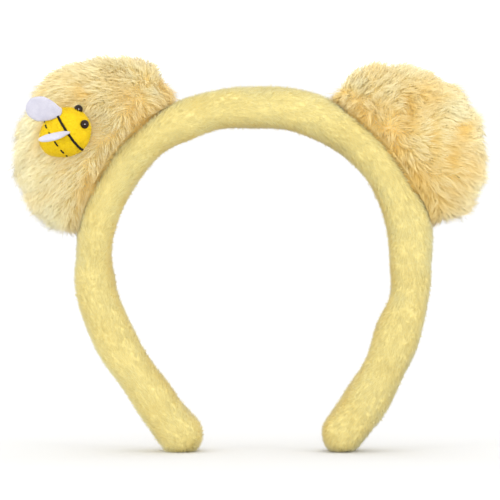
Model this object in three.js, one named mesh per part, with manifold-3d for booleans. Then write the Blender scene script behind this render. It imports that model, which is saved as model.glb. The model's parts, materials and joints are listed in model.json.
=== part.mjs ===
// A plush headband with two furry bear ears and a small plush bee on the front of one ear.
// Millimetres, +Z up, the front towards -Y. It stands on its two ends, as it would on a table.

import * as THREE from "three";
import { ParametricGeometry } from "three/addons/geometries/ParametricGeometry.js";
import { mergeVertices } from "three/addons/utils/BufferGeometryUtils.js";
import Module from "manifold-3d";

const wasm = await Module();
wasm.setup();

// Driving dimensions of the band, pile included
const bandSpan = 145.6; // between the centre lines of the two sides, at the widest
const bandRise = 158.2; // from the floor to the centre line of the crown
const bandThickness = 18.4; // seen from the front
const bandDepth = 34; // from front to back
const bandSquareness = 2.8; // 2 is an oval section, more is a squarer one
const lumpHeight = 0.4; // soft dents of the plush
const lumpPitch = 34; // along the band
const bandSteps = 56;
const bandSides = 18;
const capSteps = 5;

// Driving dimensions of the ears
const earRadius = 40.4; // from the ear's centre to the tips of its fur, as a mean
const earDepth = 44; // from front to back, fur included
const earStand = 7.3; // from the band's outer surface to the ear's centre
const seamDepth = 28; // where the ear is sewn to the band
const seamReach = 15; // over which the ear swells to its full depth
const pileHeight = 6.5; // how far the locks stand out of the pad
const lockLength = 17;
const lockWidth = 14.5;
const lockCurl = 0.3; // sideways bend of a lock, as a share of its length
const lockCount = 88; // round the whole pad, with those over the seam left out
const lockSides = 5;
const lockLean = 0.45; // how far a lock leans the way it is combed, against standing straight out
const lockDroop = 0.5; // how far it is combed down, against outwards
const lockTousle = 1.4; // how far it is combed its own way
const lockSpread = 0.3; // between the shortest and the longest, as a share of lockLength

// Driving dimensions of the bee
const beeLength = 25.5;
const beeWidth = 24.4;
const beeHeight = 20;
const beeSink = 3.2; // how deep it is pressed into the fur
const beeOut = 13.3; // from the ear's centre, sideways away from the band
const beeUp = 6.4; // from the ear's centre, upwards
const beeTailTaper = 0.16; // how much narrower the tail is than the head
const eyeRadius = 2.05;
const wingLength = 16;
const wingWidth = 11.6;
const wingThickness = 1.8;
const wingSteps = 30;

const clearance = 0.35; // between pieces that are sewn or glued together

// The band's centre line from its left end over the crown to its right end, as the front view
// shows it. side is a share of half the span, rise a share of the rise, thick and deep are
// shares of the band's thickness and depth.
const bandSections = [
  { side: -0.46, rise: 0.053, thick: 1.12, deep: 0.88 },
  { side: -0.568, rise: 0.113, thick: 1.08, deep: 0.9 },
  { side: -0.69, rise: 0.196, thick: 1.0, deep: 0.92 },
  { side: -0.831, rise: 0.288, thick: 1.1, deep: 0.94 },
  { side: -0.921, rise: 0.381, thick: 1.07, deep: 0.96 },
  { side: -0.988, rise: 0.475, thick: 1.02, deep: 0.98 },
  { side: -1.0, rise: 0.568, thick: 0.9, deep: 1.0 },
  { side: -0.972, rise: 0.667, thick: 0.93, deep: 1.0 },
  { side: -0.9, rise: 0.754, thick: 0.95, deep: 1.0 },
  { side: -0.77, rise: 0.85, thick: 0.96, deep: 1.0 },
  { side: -0.58, rise: 0.93, thick: 0.98, deep: 1.0 },
  { side: -0.345, rise: 0.979, thick: 1.02, deep: 1.0 },
  { side: -0.09, rise: 1.0, thick: 1.02, deep: 1.0 },
  { side: 0.17, rise: 0.998, thick: 1.05, deep: 1.0 },
  { side: 0.405, rise: 0.972, thick: 1.09, deep: 1.0 },
  { side: 0.625, rise: 0.916, thick: 1.0, deep: 1.0 },
  { side: 0.8, rise: 0.833, thick: 1.0, deep: 1.0 },
  { side: 0.92, rise: 0.742, thick: 1.05, deep: 1.0 },
  { side: 0.998, rise: 0.645, thick: 1.16, deep: 1.0 },
  { side: 0.996, rise: 0.545, thick: 1.03, deep: 0.99 },
  { side: 0.99, rise: 0.45, thick: 1.01, deep: 0.97 },
  { side: 0.94, rise: 0.36, thick: 1.14, deep: 0.95 },
  { side: 0.846, rise: 0.255, thick: 1.06, deep: 0.93 },
  { side: 0.723, rise: 0.154, thick: 1.08, deep: 0.91 },
  { side: 0.577, rise: 0.057, thick: 1.11, deep: 0.88 },
];

// Each ear's outline from the front: the reach of its fur from the ear's centre, as a share of
// earRadius. turn is in degrees from straight out of the band, positive towards the crown.
const earOutline = [
  { turn: -180, left: 0.82, right: 0.82 },
  { turn: -150, left: 0.95, right: 0.88 },
  { turn: -120, left: 1.1, right: 0.97 },
  { turn: -90, left: 1.12, right: 1.05 },
  { turn: -60, left: 1.035, right: 0.985 },
  { turn: -30, left: 0.975, right: 0.885 },
  { turn: 0, left: 0.945, right: 0.905 },
  { turn: 30, left: 1.03, right: 0.905 },
  { turn: 60, left: 1.08, right: 1.005 },
  { turn: 90, left: 1.19, right: 1.15 },
  { turn: 120, left: 1.1, right: 1.12 },
  { turn: 150, left: 0.9, right: 0.9 },
];

// A wing from its root to its end, with its half width as a share of the widest
const wingOutline = [
  { along: -0.08, half: 0.25 },
  { along: 0.02, half: 0.34 },
  { along: 0.3, half: 0.78 },
  { along: 0.6, half: 1.0 },
  { along: 0.87, half: 0.74 },
  { along: 1.0, half: 0 },
];

// A lock of fur from its root to its tip
const lockProfile = [
  { along: 0, girth: 0 },
  { along: 0, girth: 1 },
  { along: 0.55, girth: 0.9 },
  { along: 0.84, girth: 0.56 },
  { along: 1, girth: 0 },
];

// along is the share of the band's length at which an ear is sewn on, crown is the way to the
// crown along the band's line
const ears = [
  { side: "left", along: 0.339, crown: 1, seed: 11 },
  { side: "right", along: 0.675, crown: -1, seed: 23 },
];

// The bee heads up to the right, its back to the front, rolled a little to the upper left
const beeHeading = 35; // degrees above level
const beePitch = 8; // head lifted off the fur
const beeRoll = 25;

// The two eyes. Angles in degrees in the bee's own frame: away is from straight ahead, round is
// from the middle of its back. The left one is half hidden behind the head in the front view.
const eyes = [
  { name: "bee_eye_left", away: 27, round: 76 },
  { name: "bee_eye_right", away: 31, round: -38 },
];

// The two wings. away and round are the place of the root, as an eye's are, and reach is the
// length as a share of wingLength. heading is anticlockwise from the right in the front view,
// lift towards the front, twist about the wing's own length, where 0 is broadside to the front.
const wings = [
  { name: "bee_wing_left", away: 70, round: 33, reach: 1, heading: 168, lift: 12, twist: -6 },
  { name: "bee_wing_right", away: 78, round: -21, reach: 0.88, heading: 197, lift: 28, twist: 78 },
];

const plush = new THREE.MeshStandardMaterial({ color: 0xf0dd90, roughness: 0.95 });
const longFur = new THREE.MeshStandardMaterial({ color: 0xeccf8a, roughness: 0.95 });
const beeFleece = new THREE.MeshStandardMaterial({ color: 0xf6da12, roughness: 0.9 });
const wingFelt = new THREE.MeshStandardMaterial({ color: 0xe6e5ee, roughness: 0.85 });
const eyeGloss = new THREE.MeshStandardMaterial({ color: 0x140d08, roughness: 0.15 });

const radians = THREE.MathUtils.degToRad;

// A closed three.js geometry as a solid that can be joined and cut
function solidOf(geometry) {
  const bare = geometry.clone();
  for (const name of Object.keys(bare.attributes)) {
    if (name !== "position") bare.deleteAttribute(name);
  }
  const merged = mergeVertices(bare, 1e-3);
  const triVerts = [];
  for (let i = 0; i < merged.index.count; i += 3) {
    const [a, b, c] = [0, 1, 2].map((k) => merged.index.getX(i + k));
    if (a !== b && b !== c && c !== a) triVerts.push(a, b, c);
  }
  return new wasm.Manifold(
    new wasm.Mesh({
      numProp: 3,
      vertProperties: merged.attributes.position.array,
      triVerts: new Uint32Array(triVerts),
    }),
  );
}

function geometryOf(solid) {
  const { numProp, numVert, vertProperties, triVerts } = solid.getMesh();
  const positions = new Float32Array(numVert * 3);
  for (let i = 0; i < numVert; i++) {
    positions.set(vertProperties.subarray(i * numProp, i * numProp + 3), i * 3);
  }
  const geometry = new THREE.BufferGeometry();
  geometry.setAttribute("position", new THREE.BufferAttribute(positions, 3));
  geometry.setIndex(new THREE.BufferAttribute(new Uint32Array(triVerts), 1));
  geometry.computeVertexNormals();
  return geometry;
}

// Numbers between 0 and 1 that are the same on every run
function seededRandom(seed) {
  let state = seed;
  return () => {
    state = (state * 1664525 + 1013904223) % 4294967296;
    return state / 4294967296;
  };
}

// Between -1 and 1, the signed power that turns a circle into a squarer round section
const squared = (value, power) => Math.sign(value) * Math.abs(value) ** (2 / power);

// The band's centre line lies in the XZ plane
const bandLine = new THREE.CatmullRomCurve3(
  bandSections.map(({ side, rise }) =>
    new THREE.Vector3((side * bandSpan) / 2, 0, rise * bandRise)),
  false,
  "centripetal",
);
const bandGirth = new THREE.SplineCurve(
  bandSections.map(({ thick, deep }) =>
    new THREE.Vector2((thick * bandThickness) / 2, (deep * bandDepth) / 2)),
);

const outwardOf = (tangent) => new THREE.Vector3(-tangent.z, 0, tangent.x);

// A loft of squarish oval sections along the centre line. Each end closes over a few rings, like
// half a pillow. grow makes a larger one, to cut a clearance with.
function bandForm(grow) {
  const length = bandLine.getLength();
  const rings = bandSteps + 2 * capSteps;
  const surface = (aroundShare, ringShare, target) => {
    const ring = Math.round(ringShare * rings);
    const capRing = Math.min(0, ring - capSteps) + Math.max(0, ring - capSteps - bandSteps);
    const closing = (capRing / capSteps) * (Math.PI / 2);
    const along = THREE.MathUtils.clamp((ring - capSteps) / bandSteps, 0, 1);
    const girth = bandGirth.getPoint(along);
    const tangent = bandLine.getTangent(along);
    const turn = -aroundShare * 2 * Math.PI;
    const wave = (along * length * 2 * Math.PI) / lumpPitch;
    const lump = lumpHeight * Math.sin(wave + 2 * Math.sin(turn));
    const radius = girth.x + grow;
    const halfThick = (radius + lump) * Math.cos(closing);
    const halfDeep = girth.y + grow - radius + halfThick;
    target
      .copy(bandLine.getPoint(along))
      .addScaledVector(tangent, radius * Math.sin(closing))
      .addScaledVector(outwardOf(tangent), halfThick * squared(Math.cos(turn), bandSquareness));
    target.y = halfDeep * squared(Math.sin(turn), bandSquareness);
  };
  return solidOf(new ParametricGeometry(surface, bandSides, rings));
}

// The floor, which flattens the plush where the two ends stand on it
function floorBlock() {
  const size = 2 * (bandSpan + bandRise);
  return solidOf(new THREE.BoxGeometry(size, size, size).translate(0, 0, -size / 2));
}

// Everything on the inner side of the band's centre line, where a head goes
function headRoom() {
  const depth = 2 * (bandDepth + earDepth);
  const outline = bandLine.getPoints(bandSteps).map(({ x, z }) => new THREE.Vector2(x, z));
  const room = new THREE.ExtrudeGeometry(new THREE.Shape(outline), { depth, bevelEnabled: false });
  return solidOf(room.translate(0, 0, -depth / 2).rotateX(Math.PI / 2));
}

// The place of an ear: its centre stands off the band, x points out of the band, z to the crown
function earFrame({ along, crown }) {
  const tangent = bandLine.getTangentAt(along);
  const outward = outwardOf(tangent);
  const toCrown = tangent.clone().multiplyScalar(crown);
  const centre = bandLine
    .getPointAt(along)
    .addScaledVector(outward, bandThickness / 2 + earStand);
  return new THREE.Matrix4()
    .makeBasis(outward, toCrown.clone().cross(outward), toCrown)
    .setPosition(centre);
}

function reachCurve(side) {
  const rows = earOutline.map((row) => new THREE.Vector3(row[side] * earRadius, 0, 0));
  return new THREE.CatmullRomCurve3(rows, true, "catmullrom", 0.5);
}

const reachAt = (curve, x, z) => curve.getPoint((Math.atan2(z, x) / (2 * Math.PI) + 0.5) % 1).x;

// How thick the ear is at a distance x from its centre, as a share: narrow at its seam
function swell(x) {
  const seamShare = seamDepth / earDepth;
  return seamShare + (1 - seamShare) * THREE.MathUtils.smoothstep(x + earStand, 0, seamReach);
}

// The point of an ear's pad in a direction from its centre, drawn in by the height of the fur
function padPoint(curve, direction) {
  const reach = reachAt(curve, direction.x, direction.z) - pileHeight;
  const point = new THREE.Vector3(direction.x * reach, 0, direction.z * reach);
  point.y = direction.y * (earDepth / 2 - pileHeight) * swell(point.x);
  return point;
}

function padNormal(curve, direction) {
  const reach = reachAt(curve, direction.x, direction.z);
  const half = earDepth / 2;
  return new THREE.Vector3(direction.x / reach, direction.y / half, direction.z / reach).normalize();
}

function padForm(curve) {
  const geometry = new THREE.SphereGeometry(1, 20, 12);
  const { position } = geometry.attributes;
  const direction = new THREE.Vector3();
  for (let i = 0; i < position.count; i++) {
    direction.fromBufferAttribute(position, i);
    position.setXYZ(i, ...padPoint(curve, direction));
  }
  return solidOf(geometry);
}

// One lock of fur: a bent, tapered form that leaves its root along axis and curls towards comb
function lockForm(root, normal, axis, comb, length) {
  const profile = lockProfile.map(({ along, girth }) =>
    new THREE.Vector2((girth * lockWidth) / 2, along * length));
  const lock = new THREE.LatheGeometry(profile, lockSides);
  const { position } = lock.attributes;
  for (let i = 0; i < position.count; i++) {
    const share = position.getY(i) / length;
    position.setX(i, position.getX(i) + lockCurl * length * share * share);
  }
  const side = new THREE.Vector3().crossVectors(comb, axis).normalize();
  const curlWay = new THREE.Vector3().crossVectors(axis, side);
  const buried = length - pileHeight / Math.max(0.5, axis.dot(normal));
  const place = new THREE.Matrix4()
    .makeBasis(curlWay, axis, side)
    .setPosition(root.clone().addScaledVector(axis, -buried));
  return solidOf(lock.applyMatrix4(place));
}

// Locks spread evenly over the pad, combed outwards and down, each with its own lean
function earLocks(curve, frame, seed, isCovered) {
  const random = seededRandom(seed);
  const down = new THREE.Vector3(0, 0, -1).transformDirection(frame.clone().invert());
  const goldenAngle = Math.PI * (3 - Math.sqrt(5));
  const locks = [];
  for (let i = 0; i < lockCount; i++) {
    const depth = 1 - (2 * (i + 0.5)) / lockCount;
    const flat = Math.sqrt(1 - depth * depth);
    const angle = i * goldenAngle;
    const direction = new THREE.Vector3(flat * Math.cos(angle), depth, flat * Math.sin(angle));
    const root = padPoint(curve, direction);
    const normal = padNormal(curve, direction);
    const lean = new THREE.Vector3(random() - 0.5, random() - 0.5, random() - 0.5);
    const length = lockLength * (1 + lockSpread * (random() - 0.5));
    const comb = new THREE.Vector3(root.x + earRadius / 2, 0, root.z).normalize();
    comb.addScaledVector(down, lockDroop).addScaledVector(lean, lockTousle).normalize();
    const axis = normal.clone().addScaledVector(comb, lockLean).normalize();
    const overSeam = root.x < -earStand - seamReach / 2;
    if (!overSeam && !isCovered(root)) locks.push(lockForm(root, normal, axis, comb, length));
  }
  return locks;
}

// A point on the bee's egg-shaped body, larger at the head than at the tail
function beePoint(direction, grow) {
  const taper = 1 - beeTailTaper * THREE.MathUtils.smoothstep(-direction.x, -0.4, 1);
  return new THREE.Vector3(
    direction.x * (beeLength / 2 + grow),
    direction.y * taper * (beeWidth / 2 + grow),
    direction.z * taper * (beeHeight / 2 + grow),
  );
}

function beeBodyForm(grow) {
  const geometry = new THREE.SphereGeometry(1, 22, 14).rotateZ(-Math.PI / 2);
  const { position } = geometry.attributes;
  const direction = new THREE.Vector3();
  for (let i = 0; i < position.count; i++) {
    direction.fromBufferAttribute(position, i);
    position.setXYZ(i, ...beePoint(direction, grow));
  }
  return solidOf(geometry);
}

const front = new THREE.Vector3(0, -1, 0);

// The way at a turn anticlockwise from the right, as seen from the front, lifted to the front
const headingOf = (turn, lift) =>
  new THREE.Vector3(Math.cos(turn), 0, Math.sin(turn))
    .multiplyScalar(Math.cos(lift))
    .addScaledVector(front, Math.sin(lift));

// The bee sits on the front of its ear. x points ahead of it and z out of its back.
function beeFrame(ear) {
  const centre = new THREE.Vector3().setFromMatrixPosition(ear.frame);
  centre.add(new THREE.Vector3(-beeOut, 0, beeUp));
  const inEar = centre.clone().applyMatrix4(ear.frame.clone().invert());
  const share = Math.hypot(inEar.x, inEar.z) / reachAt(ear.curve, inEar.x, inEar.z);
  const furFront = (earDepth / 2) * Math.sqrt(1 - share * share) * swell(inEar.x);
  centre.y = -(furFront + beeHeight / 2 - beeSink);
  const [heading, pitch, roll] = [beeHeading, beePitch, beeRoll].map(radians);
  const ahead = headingOf(heading, pitch);
  const side = new THREE.Vector3().crossVectors(front, ahead).normalize();
  side.applyAxisAngle(ahead, -roll);
  const back = new THREE.Vector3().crossVectors(ahead, side);
  return new THREE.Matrix4().makeBasis(ahead, side, back).setPosition(centre);
}

const roundOf = (away, round) =>
  new THREE.Vector3(
    Math.cos(away),
    Math.sin(away) * Math.sin(round),
    Math.sin(away) * Math.cos(round),
  );

// A glass bead sunk to its middle into the body, at one side of the face
function eyeForm({ away, round }) {
  const seat = beePoint(roundOf(radians(away), radians(round)), 0);
  const bead = new THREE.SphereGeometry(eyeRadius, 12, 8);
  return solidOf(bead.translate(...seat)).subtract(beeBodyForm(clearance));
}

// A flat felt wing, narrow at its root and round at its end, lying along x
function wingSlab(reach) {
  const edge = wingOutline.map(({ along, half }) =>
    new THREE.Vector2(along * reach * wingLength, (half * wingWidth) / 2));
  const otherEdge = edge.slice(0, -1).reverse().map(({ x, y }) => new THREE.Vector2(x, -y));
  const outline = new THREE.SplineCurve([...edge, ...otherEdge]).getPoints(wingSteps);
  const slab = new THREE.ExtrudeGeometry(new THREE.Shape(outline), {
    depth: wingThickness,
    bevelEnabled: false,
  });
  return solidOf(slab.translate(0, 0, -wingThickness / 2));
}

// Where a wing leaves the bee's back and which way it points, in the shared frame
function wingFrame({ away, round, heading, lift, twist }, bee) {
  const root = beePoint(roundOf(radians(away), radians(round)), 0).applyMatrix4(bee);
  const out = headingOf(radians(heading), radians(lift));
  const across = new THREE.Vector3().crossVectors(front, out).normalize();
  across.applyAxisAngle(out, radians(twist));
  return new THREE.Matrix4()
    .makeBasis(out, across, new THREE.Vector3().crossVectors(out, across))
    .setPosition(root);
}

// Puts a solid, given in the shared frame, into the graph as a mesh in its own frame
function place(parent, name, solid, material, frame) {
  const mesh = new THREE.Mesh(
    geometryOf(solid).applyMatrix4(frame.clone().invert()),
    material,
  );
  mesh.name = name;
  mesh.applyMatrix4(parent.matrixWorld.clone().invert().multiply(frame));
  parent.add(mesh);
  parent.updateMatrixWorld(true);
}

const moved = (solid, frame) => solid.transform(frame.elements);

const headband = new THREE.Group();
const band = bandForm(0).subtract(floorBlock());
const bandCutter = bandForm(clearance).add(headRoom());
place(headband, "band", band, plush, new THREE.Matrix4());

for (const ear of ears) {
  ear.frame = earFrame(ear);
  ear.curve = reachCurve(ear.side);
}
const beeEar = ears[0];
const bee = beeFrame(beeEar);
const beeSeat = moved(beeBodyForm(clearance), bee);
const beeCentre = new THREE.Vector3().setFromMatrixPosition(bee);

for (const ear of ears) {
  const toBee = beeCentre.clone().applyMatrix4(ear.frame.clone().invert());
  const underBee = (root) =>
    ear === beeEar &&
    root.y * toBee.y > 0 &&
    Math.hypot(root.x - toBee.x, root.z - toBee.z) < beeWidth / 2 - lockWidth / 4;
  const locks = earLocks(ear.curve, ear.frame, ear.seed, underBee);
  const fur = wasm.Manifold.union([padForm(ear.curve), ...locks]);
  const solid = moved(fur, ear.frame).subtract(bandCutter).subtract(beeSeat);
  place(headband, `ear_${ear.side}`, solid, longFur, ear.frame);
}

const beeGroup = new THREE.Group();
beeGroup.applyMatrix4(bee);
headband.add(beeGroup);
headband.updateMatrixWorld(true);
place(beeGroup, "bee_body", moved(beeBodyForm(0), bee), beeFleece, bee);
for (const eye of eyes) {
  place(beeGroup, eye.name, moved(eyeForm(eye), bee), eyeGloss, bee);
}
for (const wing of wings) {
  const frame = wingFrame(wing, bee);
  const solid = moved(wingSlab(wing.reach), frame).subtract(beeSeat);
  place(beeGroup, wing.name, solid, wingFelt, frame);
}

// The origin is on the floor, under the middle of the whole headband
const extent = new THREE.Box3().setFromObject(headband, true);
const middle = extent.getCenter(new THREE.Vector3());
headband.position.set(-middle.x, -middle.y, -extent.min.z);

export default headband;
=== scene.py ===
# A plush headband with furry bear ears and a plush bee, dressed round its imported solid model
import json
import math

import bpy
import numpy as np
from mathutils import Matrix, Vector

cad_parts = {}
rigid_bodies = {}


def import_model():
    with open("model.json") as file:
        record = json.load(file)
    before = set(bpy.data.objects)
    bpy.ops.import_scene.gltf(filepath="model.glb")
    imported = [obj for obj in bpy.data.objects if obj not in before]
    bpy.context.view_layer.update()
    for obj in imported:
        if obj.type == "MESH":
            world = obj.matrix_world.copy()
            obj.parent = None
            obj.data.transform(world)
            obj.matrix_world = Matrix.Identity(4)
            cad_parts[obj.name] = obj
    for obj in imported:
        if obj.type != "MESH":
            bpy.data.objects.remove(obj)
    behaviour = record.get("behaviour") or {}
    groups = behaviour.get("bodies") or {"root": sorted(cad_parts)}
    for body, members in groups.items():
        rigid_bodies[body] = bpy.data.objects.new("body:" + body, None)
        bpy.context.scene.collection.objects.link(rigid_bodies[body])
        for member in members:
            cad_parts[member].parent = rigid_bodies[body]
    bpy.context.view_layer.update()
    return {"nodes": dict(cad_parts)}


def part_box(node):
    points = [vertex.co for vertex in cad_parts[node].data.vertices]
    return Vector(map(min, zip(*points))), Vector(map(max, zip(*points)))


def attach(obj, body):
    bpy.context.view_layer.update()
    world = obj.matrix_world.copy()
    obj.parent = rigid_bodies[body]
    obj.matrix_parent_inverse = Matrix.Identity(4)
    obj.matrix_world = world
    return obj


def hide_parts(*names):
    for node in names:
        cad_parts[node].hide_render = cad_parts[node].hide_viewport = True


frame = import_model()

mm = 0.001

# The camera looks at the photo's middle, given from the middle of the band's foot line
cameraSettings = {
    "distance": 3.2,
    "elevation": 3.0,  # degrees above level
    "frameWidth": 0.230,  # what the picture spans at the band
    "aimSide": -0.0018,
    "aimHeight": 0.0927,
}

# Places and outlines that the pieces share, in metres from the middle of the band's foot line
headbandSettings = {
    "lineSide": -0.00075,  # the centre line's middle, beside the middle of the band's box
    "span": 0.1456,
    "rise": 0.1582,
    "thickness": 0.0184,
    "depth": 0.034,
    "squareness": 2.8,
}

# The band's centre line from its left end over the crown, as shares of half the span, the
# rise, the thickness and the depth
bandSections = np.array(
    [
        # side, rise, thick, deep
        (-0.460, 0.053, 1.12, 0.88),
        (-0.568, 0.113, 1.08, 0.90),
        (-0.690, 0.196, 1.00, 0.92),
        (-0.831, 0.288, 1.10, 0.94),
        (-0.921, 0.381, 1.07, 0.96),
        (-0.988, 0.475, 1.02, 0.98),
        (-1.000, 0.568, 0.90, 1.00),
        (-0.972, 0.667, 0.93, 1.00),
        (-0.900, 0.754, 0.95, 1.00),
        (-0.770, 0.850, 0.96, 1.00),
        (-0.580, 0.930, 0.98, 1.00),
        (-0.345, 0.979, 1.02, 1.00),
        (-0.090, 1.000, 1.02, 1.00),
        (0.170, 0.998, 1.05, 1.00),
        (0.405, 0.972, 1.09, 1.00),
        (0.625, 0.916, 1.00, 1.00),
        (0.800, 0.833, 1.00, 1.00),
        (0.920, 0.742, 1.05, 1.00),
        (0.998, 0.645, 1.16, 1.00),
        (0.996, 0.545, 1.03, 0.99),
        (0.990, 0.450, 1.01, 0.97),
        (0.940, 0.360, 1.14, 0.95),
        (0.846, 0.255, 1.06, 0.93),
        (0.723, 0.154, 1.08, 0.91),
        (0.577, 0.057, 1.11, 0.88),
    ]
)


# Small sums on rows of points


def unitRows(rows):
    # each row divided by its own length
    return rows / np.maximum(np.linalg.norm(rows, axis=-1, keepdims=True), 1e-12)


def smoothStep(value, low, high):
    # 0 below low, 1 above high, and 3t squared less 2t cubed between them
    t = np.clip((value - low) / (high - low), 0, 1)
    return t * t * (3 - 2 * t)


def splineRows(rows, count):
    # Rows of a table joined by cubic Hermite arcs over their chord lengths, read at count even
    # steps: the slope at a row is that of the line through its two neighbours
    chord = np.linalg.norm(np.diff(rows[:, :2], axis=0), axis=1)
    knots = np.concatenate([[0], np.cumsum(chord)])
    slopes = np.gradient(rows, knots, axis=0)
    at = np.linspace(0, knots[-1], count)
    i = np.clip(np.searchsorted(knots, at, side="right") - 1, 0, len(knots) - 2)
    step = (knots[i + 1] - knots[i])[:, None]
    t = (at[:, None] - knots[i][:, None]) / step
    return (
        rows[i] * (2 * t**3 - 3 * t**2 + 1)
        + slopes[i] * step * (t**3 - 2 * t**2 + t)
        + rows[i + 1] * (3 * t**2 - 2 * t**3)
        + slopes[i + 1] * step * (t**3 - t**2)
    )


def softNoise(points, pitch, seed, waves=9):
    # A smooth field mostly between -1 and 1: the sum of sine waves of one length over the square
    # root of their number, with ways and starts drawn from the seed
    draw = np.random.default_rng(seed)
    ways = unitRows(draw.normal(size=(waves, 3)))
    starts = draw.uniform(0, 2 * math.pi, waves)
    phase = points @ ways.T * (2 * math.pi / pitch) + starts
    return np.sin(phase).sum(axis=1) / math.sqrt(waves)


def softNoiseRows(points, pitch, seed):
    # three soft noises side by side, one for each way
    return np.stack([softNoise(points, pitch, seed + k) for k in range(3)], axis=1)


def evenDirections(count, draw, jitter):
    # Unit vectors spread evenly by the golden angle, each moved a little at random
    i = np.arange(count) + 0.5
    height = 1 - 2 * i / count
    flat = np.sqrt(1 - height**2)
    turn = i * math.pi * (3 - math.sqrt(5))
    rows = np.stack([flat * np.cos(turn), height, flat * np.sin(turn)], axis=1)
    return unitRows(rows + draw.normal(size=rows.shape) * jitter * math.sqrt(4 * math.pi / count))


def sphereSteps(rings, sides):
    # latitudes between the two poles and even longitudes, as two grids
    latitude = np.linspace(-math.pi / 2, math.pi / 2, rings + 2)[1:-1]
    longitude = np.linspace(0, 2 * math.pi, sides, endpoint=False)
    return np.meshgrid(latitude, longitude, indexing="ij")


def roundPower(turn, power):
    # the cosine and sine of a turn, each to the power with its own sign kept
    cosine, sine = np.cos(turn), np.sin(turn)
    return np.sign(cosine) * np.abs(cosine) ** power, np.sign(sine) * np.abs(sine) ** power


def nearestOf(points, centres, chunk=4000):
    # for each point the number of the nearest centre, by squared distance
    found = np.empty(len(points), dtype=np.int64)
    centres = centres.astype(np.float32)
    lengths = (centres**2).sum(axis=1)
    for start in range(0, len(points), chunk):
        part = points[start : start + chunk].astype(np.float32)
        found[start : start + chunk] = (lengths - 2 * part @ centres.T).argmin(axis=1)
    return found


# Meshes from arrays


def meshFromArrays(name, points, corners, sizes, uvRows, material, normals=None):
    # One mesh from points, the corner list of all faces, each face's number of corners, and a uv
    # pair for each corner, with its own shading normal at each point where those are given
    mesh = bpy.data.meshes.new(name)
    mesh.vertices.add(len(points))
    mesh.vertices.foreach_set("co", np.asarray(points, dtype=np.float32).ravel())
    mesh.loops.add(len(corners))
    mesh.loops.foreach_set("vertex_index", np.asarray(corners, dtype=np.int32))
    starts = np.concatenate([[0], np.cumsum(sizes)[:-1]]).astype(np.int32)
    mesh.polygons.add(len(sizes))
    mesh.polygons.foreach_set("loop_start", starts)
    mesh.polygons.foreach_set("use_smooth", np.ones(len(sizes), dtype=bool))
    layer = mesh.uv_layers.new(name="UVMap")
    layer.data.foreach_set("uv", np.asarray(uvRows, dtype=np.float32).ravel())
    mesh.update(calc_edges=True)
    mesh.validate()
    if normals is not None:
        mesh.normals_split_custom_set_from_vertices(normals.tolist())
    mesh.materials.append(material)
    piece = bpy.data.objects.new(name, mesh)
    bpy.context.scene.collection.objects.link(piece)
    return piece


def closedGrid(name, rings, material):
    # A tube of rings, rings[row, column], closed round each ring and capped by a fan at each end.
    # Rows run so that the faces point outwards when each ring turns anticlockwise seen from the
    # last row.
    rows, columns = rings.shape[:2]
    body = rings.reshape(-1, 3)
    ends = np.stack([rings[0].mean(axis=0), rings[-1].mean(axis=0)])
    points = np.concatenate([body, ends])
    r, c = np.meshgrid(np.arange(rows - 1), np.arange(columns), indexing="ij")
    r, c = r.ravel(), c.ravel()
    after = (c + 1) % columns
    quads = np.stack(
        [r * columns + c, r * columns + after, (r + 1) * columns + after, (r + 1) * columns + c],
        axis=1,
    )
    quadUv = np.stack(
        [
            np.stack([(c + right) / columns, (r + up) / (rows - 1)], axis=1)
            for right, up in ((0, 0), (1, 0), (1, 1), (0, 1))
        ],
        axis=1,
    )
    c = np.arange(columns)
    after = (c + 1) % columns
    first = np.stack([np.full(columns, rows * columns), after, c], axis=1)
    lastRow = (rows - 1) * columns
    last = np.stack([np.full(columns, rows * columns + 1), lastRow + c, lastRow + after], axis=1)
    middle = (c + 0.5) / columns
    fanUv = np.stack([middle, c / columns, (c + 1) / columns], axis=1)
    firstUv = np.stack([fanUv[:, [0, 2, 1]], np.zeros((columns, 3))], axis=2)
    lastUv = np.stack([fanUv, np.ones((columns, 3))], axis=2)
    corners = np.concatenate([quads.ravel(), first.ravel(), last.ravel()])
    sizes = np.concatenate([np.full(len(quads), 4), np.full(2 * columns, 3)])
    uvRows = np.concatenate([part.reshape(-1, 2) for part in (quadUv, firstUv, lastUv)])
    return meshFromArrays(name, points, corners, sizes, uvRows, material)


hairShade = (0.25, 0.8)  # how far a hair is lit as its surface is: at a rim, and on front or back


def shadingNormals(normals, spoke):
    # between the way out of the hair's own side and that of the surface it grows from
    low, high = hairShade
    share = low + (high - low) * np.abs(normals[:, 1:2])
    return unitRows(normals * share + spoke * (1 - share))


def spikeMesh(name, roots, normals, tips, width, tint, draw, material):
    # Each short hair is a closed three-sided spike: three points round its root and one at its
    # tip. u holds the hair's tint, v runs root to tip. Shading normals lean to the surface's.
    count = len(roots)
    way = unitRows(tips - roots)
    across = unitRows(np.cross(way, draw.normal(size=(count, 3))))
    points = np.empty((count, 4, 3))
    shading = np.empty((count, 4, 3))
    for k in range(3):
        turn = 2 * math.pi * k / 3
        spoke = math.cos(turn) * across + math.sin(turn) * np.cross(way, across)
        points[:, k] = roots + spoke * width[:, None] * 0.5
        shading[:, k] = shadingNormals(normals, spoke)
    points[:, 3] = tips
    shading[:, 3] = shadingNormals(normals, way)
    pattern = np.array([0, 1, 3, 1, 2, 3, 2, 0, 3, 2, 1, 0])
    heights = np.array([0, 0, 0, 1])[pattern]
    corners = (np.arange(count)[:, None] * 4 + pattern).ravel()
    uvRows = np.stack([np.repeat(tint, len(pattern)), np.tile(heights, count)], axis=1)
    sizes = np.full(count * 4, 3)
    return meshFromArrays(
        name, points.reshape(-1, 3), corners, sizes, uvRows, material, shading.reshape(-1, 3)
    )


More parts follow.
